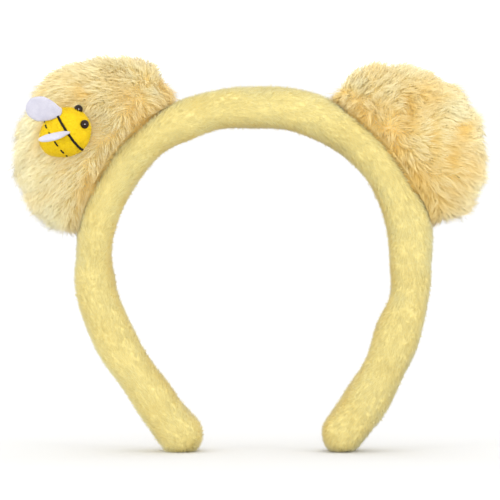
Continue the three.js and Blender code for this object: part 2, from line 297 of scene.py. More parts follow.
def strandMesh(name, roots, normals, middles, tips, width, tint, draw, material):
    # Each long hair is a closed three-sided spike with a bend: a ring of three points at its
    # root, another at its middle, and a point at its tip. uv as for short hairs.
    count = len(roots)
    lower = unitRows(middles - roots)
    upper = unitRows(tips - middles)
    aside = draw.normal(size=(count, 3))
    acrossLow = unitRows(np.cross(lower, aside))
    acrossHigh = unitRows(np.cross(upper, aside))
    points = np.empty((count, 7, 3))
    shading = np.empty((count, 7, 3))
    for k in range(3):
        turn = 2 * math.pi * k / 3
        lowSpoke = math.cos(turn) * acrossLow + math.sin(turn) * np.cross(lower, acrossLow)
        highSpoke = math.cos(turn) * acrossHigh + math.sin(turn) * np.cross(upper, acrossHigh)
        points[:, k] = roots + lowSpoke * width[:, None] * 0.5
        points[:, 3 + k] = middles + highSpoke * width[:, None] * 0.42  # nearly as wide
        shading[:, k] = shadingNormals(normals, lowSpoke)
        shading[:, 3 + k] = shadingNormals(normals, highSpoke)
    points[:, 6] = tips
    shading[:, 6] = shadingNormals(normals, upper)
    pattern = np.array([0, 1, 4, 3, 1, 2, 5, 4, 2, 0, 3, 5, 3, 4, 6, 4, 5, 6, 5, 3, 6, 2, 1, 0])
    heights = np.array([0, 0, 0, 0.5, 0.5, 0.5, 1])[pattern]
    corners = (np.arange(count)[:, None] * 7 + pattern).ravel()
    sizes = np.tile([4, 4, 4, 3, 3, 3, 3], count)
    uvRows = np.stack([np.repeat(tint, len(pattern)), np.tile(heights, count)], axis=1)
    return meshFromArrays(
        name, points.reshape(-1, 3), corners, sizes, uvRows, material, shading.reshape(-1, 3)
    )


# Materials


def newMaterial(name):
    material = bpy.data.materials.new(name)
    material.use_nodes = True
    nodes = material.node_tree.nodes
    nodes.clear()
    output = nodes.new("ShaderNodeOutputMaterial")
    shader = nodes.new("ShaderNodeBsdfPrincipled")
    material.node_tree.links.new(shader.outputs["BSDF"], output.inputs["Surface"])
    return material, nodes, material.node_tree.links, shader


def linear(red, green, blue):
    # A colour given as sRGB 0 to 255, as the shader's linear numbers by the sRGB curve
    parts = np.array([red, green, blue]) / 255
    parts = np.where(parts <= 0.04045, parts / 12.92, ((parts + 0.055) / 1.055) ** 2.4)
    return (*[float(p) for p in parts], 1.0)


def colourRamp(nodes, stops):
    ramp = nodes.new("ShaderNodeValToRGB")
    elements = ramp.color_ramp.elements
    while len(elements) < len(stops):
        elements.new(0.5)
    for element, (place, colour) in zip(elements, stops):
        element.position = place
        element.color = colour
    return ramp


def noiseNode(nodes, links, vector, scale, detail=2.0):
    noise = nodes.new("ShaderNodeTexNoise")
    noise.inputs["Scale"].default_value = scale
    noise.inputs["Detail"].default_value = detail
    links.new(vector, noise.inputs["Vector"])
    return noise.outputs["Fac"]


def mixColour(nodes, links, factor, first, second, blend="MIX"):
    mixer = nodes.new("ShaderNodeMix")
    mixer.data_type = "RGBA"
    mixer.blend_type = blend
    for socket, value in ((mixer.inputs[0], factor), (mixer.inputs[6], first), (mixer.inputs[7], second)):
        if isinstance(value, bpy.types.NodeSocket):
            links.new(value, socket)
        else:
            socket.default_value = value
    return mixer.outputs[2]


def mapRange(nodes, links, value, low, high, lowTo, highTo):
    mapper = nodes.new("ShaderNodeMapRange")
    for name, number in (("From Min", low), ("From Max", high), ("To Min", lowTo), ("To Max", highTo)):
        mapper.inputs[name].default_value = number
    links.new(value, mapper.inputs["Value"])
    return mapper.outputs["Result"]


def addBump(nodes, links, shader, height, strength, distance):
    bump = nodes.new("ShaderNodeBump")
    bump.inputs["Strength"].default_value = strength
    bump.inputs["Distance"].default_value = distance
    links.new(height, bump.inputs["Height"])
    links.new(bump.outputs["Normal"], shader.inputs["Normal"])


def furMaterial(name, fur):
    # Hair colour runs from root to tip by the stops; the deeper colour at the roots is painted shade down
    # in the pile. Hairs of a low tint are multiplied by the deep colour, which is painted shade where a
    # piece lowers the tint for it, and soft patches over the piece do the same at random.
    material, nodes, links, shader = newMaterial(name)
    deep = linear(*fur["deep"])
    uv = nodes.new("ShaderNodeUVMap")
    uv.uv_map = "UVMap"
    split = nodes.new("ShaderNodeSeparateXYZ")
    links.new(uv.outputs["UV"], split.inputs["Vector"])
    ramp = colourRamp(nodes, [(place, linear(*colour)) for place, colour in fur["stops"]])
    links.new(split.outputs["Y"], ramp.inputs["Fac"])
    coordinates = nodes.new("ShaderNodeTexCoord")
    patch = noiseNode(nodes, links, coordinates.outputs["Object"], 1 / fur["patchPitch"])
    amount = mapRange(nodes, links, patch, 0.35, 0.7, 0.0, fur["patchDepth"])
    patched = mixColour(nodes, links, amount, ramp.outputs["Color"], deep, "MULTIPLY")
    hair = mapRange(nodes, links, split.outputs["X"], 0.0, 1.0, 0.75, 0.0)
    coloured = mixColour(nodes, links, hair, patched, deep, "MULTIPLY")
    links.new(coloured, shader.inputs["Base Color"])
    rough = mapRange(nodes, links, patch, 0.3, 0.7, 0.7, 0.95)
    links.new(rough, shader.inputs["Roughness"])
    shader.inputs["Specular IOR Level"].default_value = 0.2
    shader.inputs["Sheen Weight"].default_value = fur["sheen"]
    shader.inputs["Sheen Roughness"].default_value = 0.5
    return material


def skinMaterial(name, tones, pitch):
    # The woven ground under a pile: two tones in fine grain, with a low bump
    material, nodes, links, shader = newMaterial(name)
    coordinates = nodes.new("ShaderNodeTexCoord")
    grain = noiseNode(nodes, links, coordinates.outputs["Object"], 1 / pitch, 4.0)
    low, high = linear(*tones[0]), linear(*tones[1])
    colour = mixColour(nodes, links, mapRange(nodes, links, grain, 0.3, 0.7, 0, 1), low, high)
    links.new(colour, shader.inputs["Base Color"])
    addBump(nodes, links, shader, grain, 0.5, 0.5 * mm)
    links.new(mapRange(nodes, links, grain, 0.3, 0.7, 0.8, 1.0), shader.inputs["Roughness"])
    return material


# The band


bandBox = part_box("band")
footLine = np.array([(bandBox[0][0] + bandBox[1][0]) / 2, (bandBox[0][1] + bandBox[1][1]) / 2, 0.0])
lineOrigin = footLine + [headbandSettings["lineSide"], 0, 0]


def bandLineRows(count):
    # Even steps along the centre line: places, tangents, outward ways, half thickness, half depth
    scales = np.array(
        [
            headbandSettings["span"] / 2,
            headbandSettings["rise"],
            headbandSettings["thickness"] / 2,
            headbandSettings["depth"] / 2,
        ]
    )
    rows = splineRows(bandSections * scales, count)
    places = np.stack([rows[:, 0], np.zeros(count), rows[:, 1]], axis=1) + lineOrigin
    tangents = unitRows(np.gradient(places, axis=0))
    outward = np.stack([-tangents[:, 2], np.zeros(count), tangents[:, 0]], axis=1)
    return places, tangents, outward, rows[:, 2], rows[:, 3]


bandSettings = {
    "pile": 1.5 * mm,  # from the woven ground to the tips
    "lump": 0.5 * mm,
    "lumpPitch": 26 * mm,
    "lineSteps": 400,
    "rings": 160,
    "sides": 48,
    "capRings": 10,
    "capReach": 0.98,  # where the ground's last ring lies, just short of the end's middle
    "endShare": 0.028,  # what each round end takes of the length for hairs
    "groundHeight": 0.35,  # of the pile, the least height of the ground over the floor
    "hairs": 72000,
    "hairLength": 2.8 * mm,
    "hairWidth": 0.32 * mm,
    "lean": 1.3,
    "strayLean": 0.35,
    "tousle": 0.15,
    "strays": 0.12,  # the share of hairs that stand out of the nap
    "swirlPitch": 16 * mm,
    "tipHeight": 0.12 * mm,  # the least height of a tip over the floor
    # the last tint entry is painted shade on the band's inner side, and 0.3 of it is painted light on the
    # outer side
    "tint": {"mean": 0.82, "patch": 0.08, "patchPitch": 14 * mm, "spread": 0.05, "inner": 0.35},
    # both ground tones are set darker than the hairs, to read as the shade seen between them: painted
    # shade
    "groundTones": ((218, 200, 126), (226, 210, 140)),
    "fur": {
        "stops": ((0.0, (232, 217, 143)), (0.45, (234, 223, 159)), (1.0, (235, 227, 172))),
        "deep": (247, 222, 138),
        "patchPitch": 22 * mm,
        "patchDepth": 0.25,
        "sheen": 0.25,
    },
}


def evenTurns(shares):
    # The turns at which shares of the way round the band's section are reached, read back from
    # the running sum of the section's chords
    turn = np.linspace(0, 2 * math.pi, 2001)
    power = 2 / headbandSettings["squareness"]
    cosTurn, sinTurn = roundPower(turn, power)
    x, y = headbandSettings["thickness"] * cosTurn, headbandSettings["depth"] * sinTurn
    run = np.concatenate([[0], np.cumsum(np.hypot(np.diff(x), np.diff(y)))])
    return np.interp(shares, run / run[-1], turn)


def bandPoint(along, turn, inset):
    # A squarish oval, cos and sin each to the power 2 over squareness, carried along the centre
    # line. along runs past 0 and 1 into the two round ends, by quarter turns to -1 and 2.
    steps = bandSettings["lineSteps"]
    places, tangents, outward, halfThick, halfDeep = bandLineRows(steps)
    at = np.clip(along, 0, 1) * (steps - 1)
    low = np.clip(at.astype(int), 0, steps - 2)
    t = (at - low)[:, None]

    def between(rows):
        return rows[low] * (1 - t) + rows[low + 1] * t

    place, tangent, out = between(places), unitRows(between(tangents)), unitRows(between(outward))
    radius = between(halfThick[:, None])[:, 0] - inset
    deep = between(halfDeep[:, None])[:, 0] - inset
    closing = (np.minimum(along, 0) + np.maximum(along - 1, 0)) * math.pi / 2
    cosTurn, sinTurn = roundPower(turn, 2 / headbandSettings["squareness"])
    thin = radius * np.cos(closing)
    point = place + tangent * (radius * np.sin(closing))[:, None]
    point += out * (thin * cosTurn)[:, None]
    point[:, 1] -= (deep - radius + thin) * sinTurn
    # close to the oval's own normal, with its front part less by the sine of the turn
    normal = out * (np.cos(closing) * cosTurn / radius)[:, None]
    normal += tangent * (np.sin(closing) / radius)[:, None]
    normal[:, 1] -= np.cos(closing) * sinTurn * np.abs(np.sin(turn)) / radius
    normal = unitRows(normal)
    lump = softNoise(point, bandSettings["lumpPitch"], 5) * bandSettings["lump"]
    point += normal * lump[:, None]
    point[:, 2] = np.maximum(point[:, 2], inset * bandSettings["groundHeight"])
    return point, normal, tangent


def buildBand():
    settings = bandSettings
    groundMaterial = skinMaterial("bandGround", settings["groundTones"], 1.2 * mm)
    alongSteps = np.concatenate(
        [
            np.linspace(-1, 0, settings["capRings"], endpoint=False),
            np.linspace(0, 1, settings["rings"]),
            np.linspace(1, 2, settings["capRings"] + 1)[1:],
        ]
    )
    alongSteps[0], alongSteps[-1] = -settings["capReach"], 1 + settings["capReach"]
    turnSteps = evenTurns(np.arange(settings["sides"]) / settings["sides"])
    along, turn = np.meshgrid(alongSteps, turnSteps, indexing="ij")
    points, _, _ = bandPoint(along.ravel(), turn.ravel(), settings["pile"])
    rings = points.reshape(len(alongSteps), settings["sides"], 3)
    ground = closedGrid("band_ground", rings, groundMaterial)
    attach(ground, "root")
    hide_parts("band")

    pileMaterial = furMaterial("bandPile", settings["fur"])
    draw = np.random.default_rng(41)
    count = settings["hairs"]
    # hairs are spread by area: the two ends take their share of the length
    end = settings["endShare"]
    along = draw.uniform(-end, 1 + end, count)
    along = np.where(along < 0, along / end, np.where(along > 1, 1 + (along - 1) / end, along))
    turn = evenTurns(draw.uniform(0, 1, count))
    roots, normals, tangents = bandPoint(along, turn, settings["pile"])
    # the nap runs one way along the band in soft swirls, and stray hairs stand out of it
    isStray = draw.uniform(size=count) < settings["strays"]
    swirl = softNoiseRows(roots, settings["swirlPitch"], 60)
    lean = tangents * np.where(isStray, settings["strayLean"], settings["lean"])[:, None]
    lean += swirl * settings["tousle"] + draw.normal(size=roots.shape) * 0.15
    lean -= normals * (lean * normals).sum(axis=1, keepdims=True)
    length = settings["hairLength"] * draw.uniform(0.7, 1.1, count)[:, None]
    tips = roots + unitRows(normals + lean) * length
    tips[:, 2] = np.maximum(tips[:, 2], settings["tipHeight"])
    width = settings["hairWidth"] * draw.uniform(0.75, 1.2, count)
    # painted shade makes the inner side deeper in colour than the front and back, and painted light makes
    # the outer side paler
    edge = smoothStep(-np.cos(turn), 0.6, 1) - 0.3 * smoothStep(np.cos(turn), 0.6, 1)
    tone = settings["tint"]
    tint = tone["mean"] + tone["patch"] * softNoise(roots, tone["patchPitch"], 77)
    tint = np.clip(tint + draw.normal(size=count) * tone["spread"] - tone["inner"] * edge, 0, 1)
    isLeft = roots[:, 0] < footLine[0]
    for side, part in (("left", isLeft), ("right", ~isLeft)):
        rows = (each[part] for each in (roots, normals, tips, width, tint))
        pile = spikeMesh(f"band_pile_{side}", *rows, draw, pileMaterial)
        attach(pile, "root")
    print("band: ground and", count, "hairs")


# The bee's own frame, from its solid


def headingOf(turn, lift):
    # The way at a turn anticlockwise from the right, as seen from the front, lifted to the front
    turn, lift = math.radians(turn), math.radians(lift)
    level = math.cos(lift)
    return np.array([math.cos(turn) * level, -math.sin(lift), math.sin(turn) * level])


def turned(vector, axis, angle):
    # vector turned about axis by the right-hand rule: v cos + (axis x v) sin + axis (axis.v)(1 - cos)
    angle = math.radians(angle)
    return (
        vector * math.cos(angle)
        + np.cross(axis, vector) * math.sin(angle)
        + axis * axis.dot(vector) * (1 - math.cos(angle))
    )


def nodePoints(name):
    mesh = frame["nodes"][name].data
    points = np.empty(len(mesh.vertices) * 3)
    mesh.vertices.foreach_get("co", points)
    return points.reshape(-1, 3)


def fitted(name, axes):
    # The middle and half sizes of a solid along the three rows of axes
    along = nodePoints(name) @ axes.T
    low, high = along.min(axis=0), along.max(axis=0)
    return (low + high) / 2 @ axes, (high - low) / 2


front = np.array([0.0, -1.0, 0.0])

beeSettings = {
    "heading": 35,  # degrees, as are the lift and the roll
    "lift": 8,
    "roll": 25,
    "tailTaper": 0.16,
    "pile": 0.45 * mm,
    "rings": 56,
    "sides": 64,
    "hairs": 6000,
    "hairLength": 0.85 * mm,
    "hairWidth": 0.24 * mm,
    "stripeAhead": (2.9 * mm, -4.6 * mm),
    "stitchWidth": (1.2 * mm, 0.85 * mm),
    "stripeReach": (98, 92),  # degrees to each side of the middle of its back
    "stitches": (15, 7),
    "stitchShare": (1.36, 0.62),  # of the pace from stitch to stitch
    "stitchSides": 8,
    "groundTones": ((222, 188, 0), (231, 199, 1)),
    "fur": {
        "stops": ((0.0, (222, 188, 0)), (0.5, (231, 200, 0)), (1.0, (236, 206, 3))),
        "deep": (250, 216, 50),
        "patchPitch": 9 * mm,
        "patchDepth": 0.25,
        "sheen": 0.1,
    },
}


def beeAxes():
    ahead = headingOf(beeSettings["heading"], beeSettings["lift"])
    side = unitRows(np.cross(front, ahead))
    side = turned(side, ahead, -beeSettings["roll"])
    return np.stack([ahead, side, np.cross(ahead, side)])


beeWays = beeAxes()
beeMiddle, beeHalf = fitted("bee_body", beeWays)


def beePoint(directions, inset):
    # An egg: a unit sphere stretched by the half sizes, and drawn in towards the tail by the
    # smooth step of how far back a point lies
    taper = 1 - beeSettings["tailTaper"] * smoothStep(-directions[:, 0], -0.4, 1)
    scale = np.stack(
        [
            np.full(len(directions), beeHalf[0] - inset),
            (beeHalf[1] - inset) * taper,
            (beeHalf[2] - inset) * taper,
        ],
        axis=1,
    )
    local = directions * scale
    normal = unitRows(directions / scale)
    return beeMiddle + local @ beeWays, normal @ beeWays


def insideBee(points, grow):
    # true where a point lies in the bee's egg grown by that much
    local = (points - beeMiddle) @ beeWays.T / (beeHalf + grow)
    return (local**2).sum(axis=1) < 1


# The ears


earSettings = {
    "radius": 39.6 * mm,  # from an ear's centre to the tips of its fur, as a mean
    "depth": 44 * mm,
    "stand": 7.3 * mm,  # from the band's outer surface to the ear's centre
    "seamDepth": 28 * mm,
    "seamReach": 15 * mm,
    "pile": 6.0 * mm,
    "relief": 0.9 * mm,
    "reliefPitch": 11 * mm,
    "rings": 60,
    "sides": 90,
    "hairs": 20000,
    "hairLength": 8.2 * mm,
    "hairWidth": 0.26 * mm,
    "underHairs": 52000,
    "underLength": 5.0 * mm,
    "wisps": 1200,
    "swirlPitch": 17 * mm,
    "creasePitch": 13 * mm,
    "lean": 1.0,
    "combFrom": 0.7,  # of the radius, from the centre back to where the combing starts
    "seamFade": 9 * mm,
    "seamFall": 2.4,  # how strongly fur at the seam is laid back over the band
    "rootedFrom": 0.6,  # of the band's half thickness, where the first hairs grow
    "beeGap": 0.6 * mm,
    "lineSteps": 240,
    # both ground tones are set darker than the hairs, to read as the shade seen between them: painted
    # shade
    "groundTones": ((226, 198, 134), (232, 208, 150)),
    "fur": {
        "stops": (
            (0.0, (254, 230, 150)),
            (0.3, (255, 240, 175)),
            (0.6, (255, 246, 199)),
            (1.0, (255, 250, 215)),
        ),
        "deep": (250, 215, 132),
        "patchPitch": 24 * mm,
        "patchDepth": 0.3,
        "sheen": 0.3,
    },
}

# An ear's reach every 30 degrees from straight out of the band, -180 first, positive towards the
# crown, as shares of its mean radius; centre is from the middle of the band's foot line
ears = {
    "left": {
        "centre": (-72.65 * mm, 140.5 * mm),
        "outward": 144.7,
        "crown": -1,
        "seed": 11,
        "brushed": (-0.25, -1.1),  # to the right and up, seen from the front, against 1 outwards
        "tousle": 0.25,
        "wispPull": 0.3,  # how far hairs gather to the tips of wisps, on its front and back
        "pale": 0.86,  # its mean tint, from 0, ochre, to 1
        "faceShade": 0.1,  # painted shade: how far its face is deeper in colour than its rim
        "paintedLightWay": (0.4, -0.9),  # painted light: paler this way, out of the band and to the crown
        # spots where the fur is painted in its deep colour as the shade of a parting, from the ear's
        # centre to the right and up, with each spot's half width and height
        "partingShadeSpots": (
            (21.5 * mm, 10.0 * mm, 3.0 * mm, 2.5 * mm),
            (2.5 * mm, -16.0 * mm, 2.0 * mm, 6.0 * mm),
            (-4.0 * mm, 24.0 * mm, 3.0 * mm, 2.5 * mm),
        ),
        "reach": (0.82, 0.95, 1.10, 1.12, 1.035, 0.975, 0.945, 1.03, 1.08, 1.19, 1.10, 0.90),
    },
    "right": {
        "centre": (71.95 * mm, 140.1 * mm),
        "outward": 36.3,
        "crown": 1,
        "seed": 23,
        "brushed": (0.6, -0.8),
        "tousle": 0.5,
        "wispPull": 0.4,
        "pale": 0.72,
        "faceShade": 0.25,
        "paintedLightWay": (1.0, 0.0),
        "partingShadeSpots": (
            (5.0 * mm, -19.5 * mm, 3.5 * mm, 3.0 * mm),
            (8.5 * mm, 3.0 * mm, 1.8 * mm, 7.0 * mm),
            (16.5 * mm, -5.0 * mm, 2.0 * mm, 5.0 * mm),
            (21.0 * mm, 9.0 * mm, 2.5 * mm, 3.0 * mm),
            (-2.0 * mm, 19.0 * mm, 2.0 * mm, 5.0 * mm),
        ),
        "reach": (0.82, 0.87, 0.93, 1.05, 0.985, 0.885, 0.905, 0.905, 0.99, 1.135, 1.115, 0.90),
    },
}


def earAxes(ear):
    # rows: out of the band, to the front, to the crown
    turn = math.radians(ear["outward"])
    out = np.array([math.cos(turn), 0, math.sin(turn)])
    crown = np.array([-math.sin(turn), 0, math.cos(turn)]) * ear["crown"]
    return np.stack([out, front, crown])


def earPad(ear, directions, inset):
    # A unit sphere stretched in the ear's plane by its reach at each turn, a periodic cosine
    # blend of the table's rows, and front to back by half its depth, less near the seam
    settings = earSettings
    turn = np.arctan2(directions[:, 2], directions[:, 0])
    table = np.array(ear["reach"])
    at = (turn / (2 * math.pi) + 0.5) * len(table)
    low = np.floor(at).astype(int)
    t = (1 - np.cos(math.pi * (at - low))) / 2
    reach = table[low % len(table)] * (1 - t) + table[(low + 1) % len(table)] * t
    reach = reach * settings["radius"] - inset
    seamShare = settings["seamDepth"] / settings["depth"]
    x = directions[:, 0] * reach
    swell = seamShare + (1 - seamShare) * smoothStep(x + settings["stand"], 0, settings["seamReach"])
    half = settings["depth"] / 2 - inset
    local = np.stack([x, directions[:, 1] * half * swell, directions[:, 2] * reach], axis=1)
    normal = unitRows(directions / np.stack([reach, np.full(len(reach), half), reach], axis=1))
    axes = earAxes(ear)
    centre = footLine + [ear["centre"][0], 0, ear["centre"][1]]
    relief = softNoise(local, settings["reliefPitch"], ear["seed"]) * settings["relief"]
    local += normal * relief[:, None]
    return centre + local @ axes, normal @ axes, local


def offBand(points):
    # How far points lie outwards of the band's centre line, seen from the front, with the way
    # outwards, the band's half thickness and its half depth there
    places, _, outward, halfThick, halfDeep = bandLineRows(earSettings["lineSteps"])
    flat = points * [1, 0, 1] + [0, footLine[1], 0]
    found = nearestOf(flat, places)
    off = ((flat - places[found]) * outward[found]).sum(axis=1)
    return off, outward[found], halfThick[found], halfDeep[found]


def laidOffBand(points):
    # Points that would lie in the band are moved out to 0.96 of its half thickness. Those before
    # or behind it stay.
    off, outward, halfThick, halfDeep = offBand(points)
    within = 1 - smoothStep(np.abs(points[:, 1] - footLine[1]) - halfDeep, -1.5 * mm, 0)
    return points + outward * (np.maximum(0, halfThick * 0.96 - off) * within)[:, None]


def nearSeam(points):
    # 1 at the band's outer surface, falling smoothly to 0 where the seam's fade ends
    off, _, halfThick, _ = offBand(points)
    return 1 - smoothStep(off - halfThick, 0, earSettings["seamFade"])


def furTint(ear, roots, local):
    # From 1, pale, down to 0, ochre: painted shade lowers it in creases, over the face of the ear, at
    # spots standing for partings in its fur and at its seam, and painted light raises it towards one way
    # across the ear. The face is within 0.9 of the radius, and fades in to 0.55 of it.
    settings = earSettings
    inward = 1 - smoothStep(np.hypot(local[:, 0], local[:, 2]) / settings["radius"], 0.55, 0.9)
    # painted shade in creases: soft noise stretched along the crown axis
    creaseShade = softNoise(local * [1, 1, 0.4], settings["creasePitch"], ear["seed"] + 3)
    creaseShade = smoothStep(creaseShade, 0.5, 1.5)
    soft = 0.12 * softNoise(roots, 16 * mm, 5)
    # painted light: the fur is paler towards one way across the ear
    paintedLight = 0.2 * (local[:, [0, 2]] / settings["radius"]) @ np.array(ear["paintedLightWay"])
    fromCentre = roots - footLine - [ear["centre"][0], 0, ear["centre"][1]]
    # painted shade at the partings, on the front half only
    partingShade = 0
    for right, up, wide, high in ear["partingShadeSpots"]:
        gap = ((fromCentre[:, 0] - right) / wide) ** 2 + ((fromCentre[:, 2] - up) / high) ** 2
        partingShade = partingShade + 0.9 * np.exp(-gap) * (local[:, 1] > 0)
    # painted shade over the face and in its creases
    faceAndCreaseShade = inward * (ear["faceShade"] + 0.4 * creaseShade)
    # painted shade, deepest at the seam with the band
    return ear["pale"] + soft + paintedLight - faceAndCreaseShade - partingShade - 0.45 * nearSeam(roots)


def buildEar(side, ear, material, groundMaterial):
    settings = earSettings
    draw = np.random.default_rng(ear["seed"])
    height, turn = sphereSteps(settings["rings"], settings["sides"])
    turn = turn * ear["crown"]  # so that the faces point outwards on both ears
    directions = np.stack(
        [np.cos(height) * np.cos(turn), np.sin(height), np.cos(height) * np.sin(turn)], axis=-1
    ).reshape(-1, 3)
    points, _, _ = earPad(ear, directions, settings["pile"])
    off, outward, _, _ = offBand(points)
    points += outward * np.maximum(0, 2 * mm - off)[:, None]  # it stops inside the band
    rings = points.reshape(settings["rings"], settings["sides"], 3)
    ground = closedGrid(f"ear_{side}_ground", rings, groundMaterial)
    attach(ground, "root")
    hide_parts(f"ear_{side}")

    axes = earAxes(ear)
    directions = evenDirections(settings["hairs"], draw, 0.4)
    roots, normals, local = earPad(ear, directions, settings["pile"])
    wispWays = evenDirections(settings["wisps"], draw, 0.35)
    wispRoots, wispNormals, wispLocal = earPad(ear, wispWays, settings["pile"])
    wispOf = nearestOf(directions, wispWays)

    # combed outwards from the seam and brushed, in soft swirls, each wisp its own way as well
    seam = np.array([-settings["radius"] * settings["combFrom"], 0, 0])
    comb = unitRows((wispLocal - seam) * [1, 0.15, 1]) @ axes
    comb += np.array([ear["brushed"][0], 0, ear["brushed"][1]])
    comb += softNoiseRows(wispRoots, settings["swirlPitch"], ear["seed"]) * ear["tousle"]
    comb += draw.normal(size=(settings["wisps"], 3)) * ear["tousle"] * 0.5
    # close to the seam it falls the other way, over the band's edge
    comb -= offBand(wispRoots)[1] * (settings["seamFall"] * nearSeam(wispRoots))[:, None]
    comb -= wispNormals * (comb * wispNormals).sum(axis=1, keepdims=True)
    comb = unitRows(comb)
    wispLength = settings["hairLength"] * draw.uniform(0.85, 1.1, settings["wisps"])
    # a wisp rises for half its length and falls with the combing for the rest
    risingWay = unitRows(wispNormals + comb * 0.6)
    fallingWay = unitRows(wispNormals * 0.5 + comb * settings["lean"])
    wispMiddles = wispRoots + risingWay * (wispLength * 0.5)[:, None]
    wispTips = wispMiddles + fallingWay * (wispLength * 0.5)[:, None]

    # each hair does so too in its own way, and is drawn to the wisp that it is nearest to
    length = (wispLength[wispOf] * draw.uniform(0.72, 1.08, settings["hairs"]))[:, None]
    own = draw.normal(size=roots.shape) * 0.16
    middles = roots + unitRows(normals + comb[wispOf] * 0.6 + own) * length * 0.5
    falling = unitRows(normals * 0.5 + comb[wispOf] * settings["lean"] + own * 1.5)
    tips = middles + falling * length * 0.5
    pull = ear["wispPull"] * smoothStep(np.abs(directions[:, 1]), 0.1, 0.6)[:, None]
    middles += (wispMiddles[wispOf] - middles) * pull * 0.45
    tips += (wispTips[wispOf] - tips) * pull
    middles, tips = laidOffBand(middles), laidOffBand(tips)

    def isFree(rows):
        # clear of the bee, which sits on the left ear
        return ~insideBee(rows, settings["beeGap"]) if side == "left" else np.ones(len(rows), bool)

    def isRooted(rows):
        off, _, halfThick, _ = offBand(rows)
        return off > halfThick * settings["rootedFrom"]

    kept = isRooted(roots) & isFree(middles) & isFree(tips)
    width = settings["hairWidth"] * draw.uniform(0.7, 1.2, settings["hairs"])
    shade = draw.normal(size=settings["wisps"])[wispOf] * 0.08
    tint = np.clip(furTint(ear, roots, local) + shade, 0, 1)
    isFront = local[:, 1] > 0
    for half, part in (("front", isFront & kept), ("back", ~isFront & kept)):
        rows = (each[part] for each in (roots, normals, middles, tips, width, tint))
        fur = strandMesh(f"ear_{side}_fur_{half}", *rows, draw, material)
        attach(fur, "root")

    # the underfur: shorter, straight and a little deeper in colour, the deeper tint being painted shade
    # under the long hairs
    directions = evenDirections(settings["underHairs"], draw, 0.5)
    roots, normals, local = earPad(ear, directions, settings["pile"])
    wispOf = nearestOf(directions, wispWays)
    lean = comb[wispOf] * 0.9 + draw.normal(size=roots.shape) * 0.3
    length = settings["underLength"] * draw.uniform(0.7, 1.15, len(roots))[:, None]
    tips = laidOffBand(roots + unitRows(normals + lean) * length)
    kept = isRooted(roots) & isFree(tips) & isFree((roots + tips) / 2)
    width = settings["hairWidth"] * draw.uniform(0.8, 1.3, len(roots))
    tint = np.clip(furTint(ear, roots, local) - 0.15 + draw.normal(size=len(roots)) * 0.1, 0, 1)
    rows = (each[kept] for each in (roots, normals, tips, width, tint))
    fur = spikeMesh(f"ear_{side}_underfur", *rows, draw, material)
    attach(fur, "root")
    print("ear", side, "underfur:", int(kept.sum()), "hairs")


def buildEars():
    groundMaterial = skinMaterial("earGround", earSettings["groundTones"], 1.5 * mm)
    material = furMaterial("earFur", earSettings["fur"])
    for side, ear in ears.items():
        buildEar(side, ear, material, groundMaterial)


# The bee


def stripeTurns(number, count):
    reach = math.radians(beeSettings["stripeReach"][number])
    return np.linspace(-reach, reach, count)


def stripeDirections(number, turns):
    # the ring of the egg at one place along the bee
    ahead = beeSettings["stripeAhead"][number] / beeHalf[0]
    flat = math.sqrt(1 - ahead**2)
    return np.stack([np.full(len(turns), ahead), flat * np.sin(turns), flat * np.cos(turns)], axis=1)


def buildBeeBody():
    settings = beeSettings
    fleece = furMaterial("beeFleece", settings["fur"])
    ground = skinMaterial("beeGround", settings["groundTones"], 0.8 * mm)
    height, turn = sphereSteps(settings["rings"], settings["sides"])
    directions = np.stack(
        [np.sin(height), np.cos(height) * np.cos(turn), np.cos(height) * np.sin(turn)], axis=-1
    )
    points, _ = beePoint(directions.reshape(-1, 3), settings["pile"])
    body = closedGrid("bee_body_ground", points.reshape(directions.shape), ground)
    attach(body, "root")
    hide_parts("bee_body")

    draw = np.random.default_rng(7)
    directions = evenDirections(settings["hairs"], draw, 0.5)
    roots, normals = beePoint(directions, settings["pile"] * 1.2)
    kept = np.ones(len(roots), dtype=bool)  # no hair grows where a row of stitches lies
    for number in range(len(settings["stripeAhead"])):
        line, _ = beePoint(stripeDirections(number, stripeTurns(number, 200)), 0)
        gap = np.linalg.norm(roots - line[nearestOf(roots, line)], axis=1)
        kept &= gap > settings["stitchWidth"][number] * 0.55
    lean = -beeWays[0] * 0.8 + softNoiseRows(roots, 5 * mm, 9) * 0.6
    lean -= normals * (lean * normals).sum(axis=1, keepdims=True)
    length = settings["hairLength"] * draw.uniform(0.7, 1.2, len(roots))[:, None]
    own = draw.normal(size=roots.shape) * 0.25
    middles = roots + unitRows(normals + lean * 0.3 + own) * length * 0.5
    tips = middles + unitRows(normals * 0.7 + lean + own) * length * 0.5
    width = settings["hairWidth"] * draw.uniform(0.8, 1.2, len(roots))
    tint = 0.82 + 0.15 * softNoise(roots, 4 * mm, 3)
    tint = np.clip(tint + draw.normal(size=len(roots)) * 0.08, 0, 1)
    rows = (each[kept] for each in (roots, normals, middles, tips, width, tint))
    fur = strandMesh("bee_body_fleece", *rows, draw, fleece)
    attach(fur, "root")
    print("bee body:", int(kept.sum()), "hairs")


def threadMaterial():
    # Dark thread: fine twist lines along the stitch, with a soft gloss
    material, nodes, links, shader = newMaterial("stripeThread")
    uv = nodes.new("ShaderNodeUVMap")
    uv.uv_map = "UVMap"
    wave = nodes.new("ShaderNodeTexWave")
    wave.inputs["Scale"].default_value = 3.0
    wave.inputs["Distortion"].default_value = 1.0
    links.new(uv.outputs["UV"], wave.inputs["Vector"])
    colour = mixColour(nodes, links, wave.outputs["Fac"], linear(10, 6, 3), linear(30, 18, 10))
    links.new(colour, shader.inputs["Base Color"])
    links.new(mapRange(nodes, links, wave.outputs["Fac"], 0, 1, 0.45, 0.7), shader.inputs["Roughness"])
    shader.inputs["Specular IOR Level"].default_value = 0.2
    return material


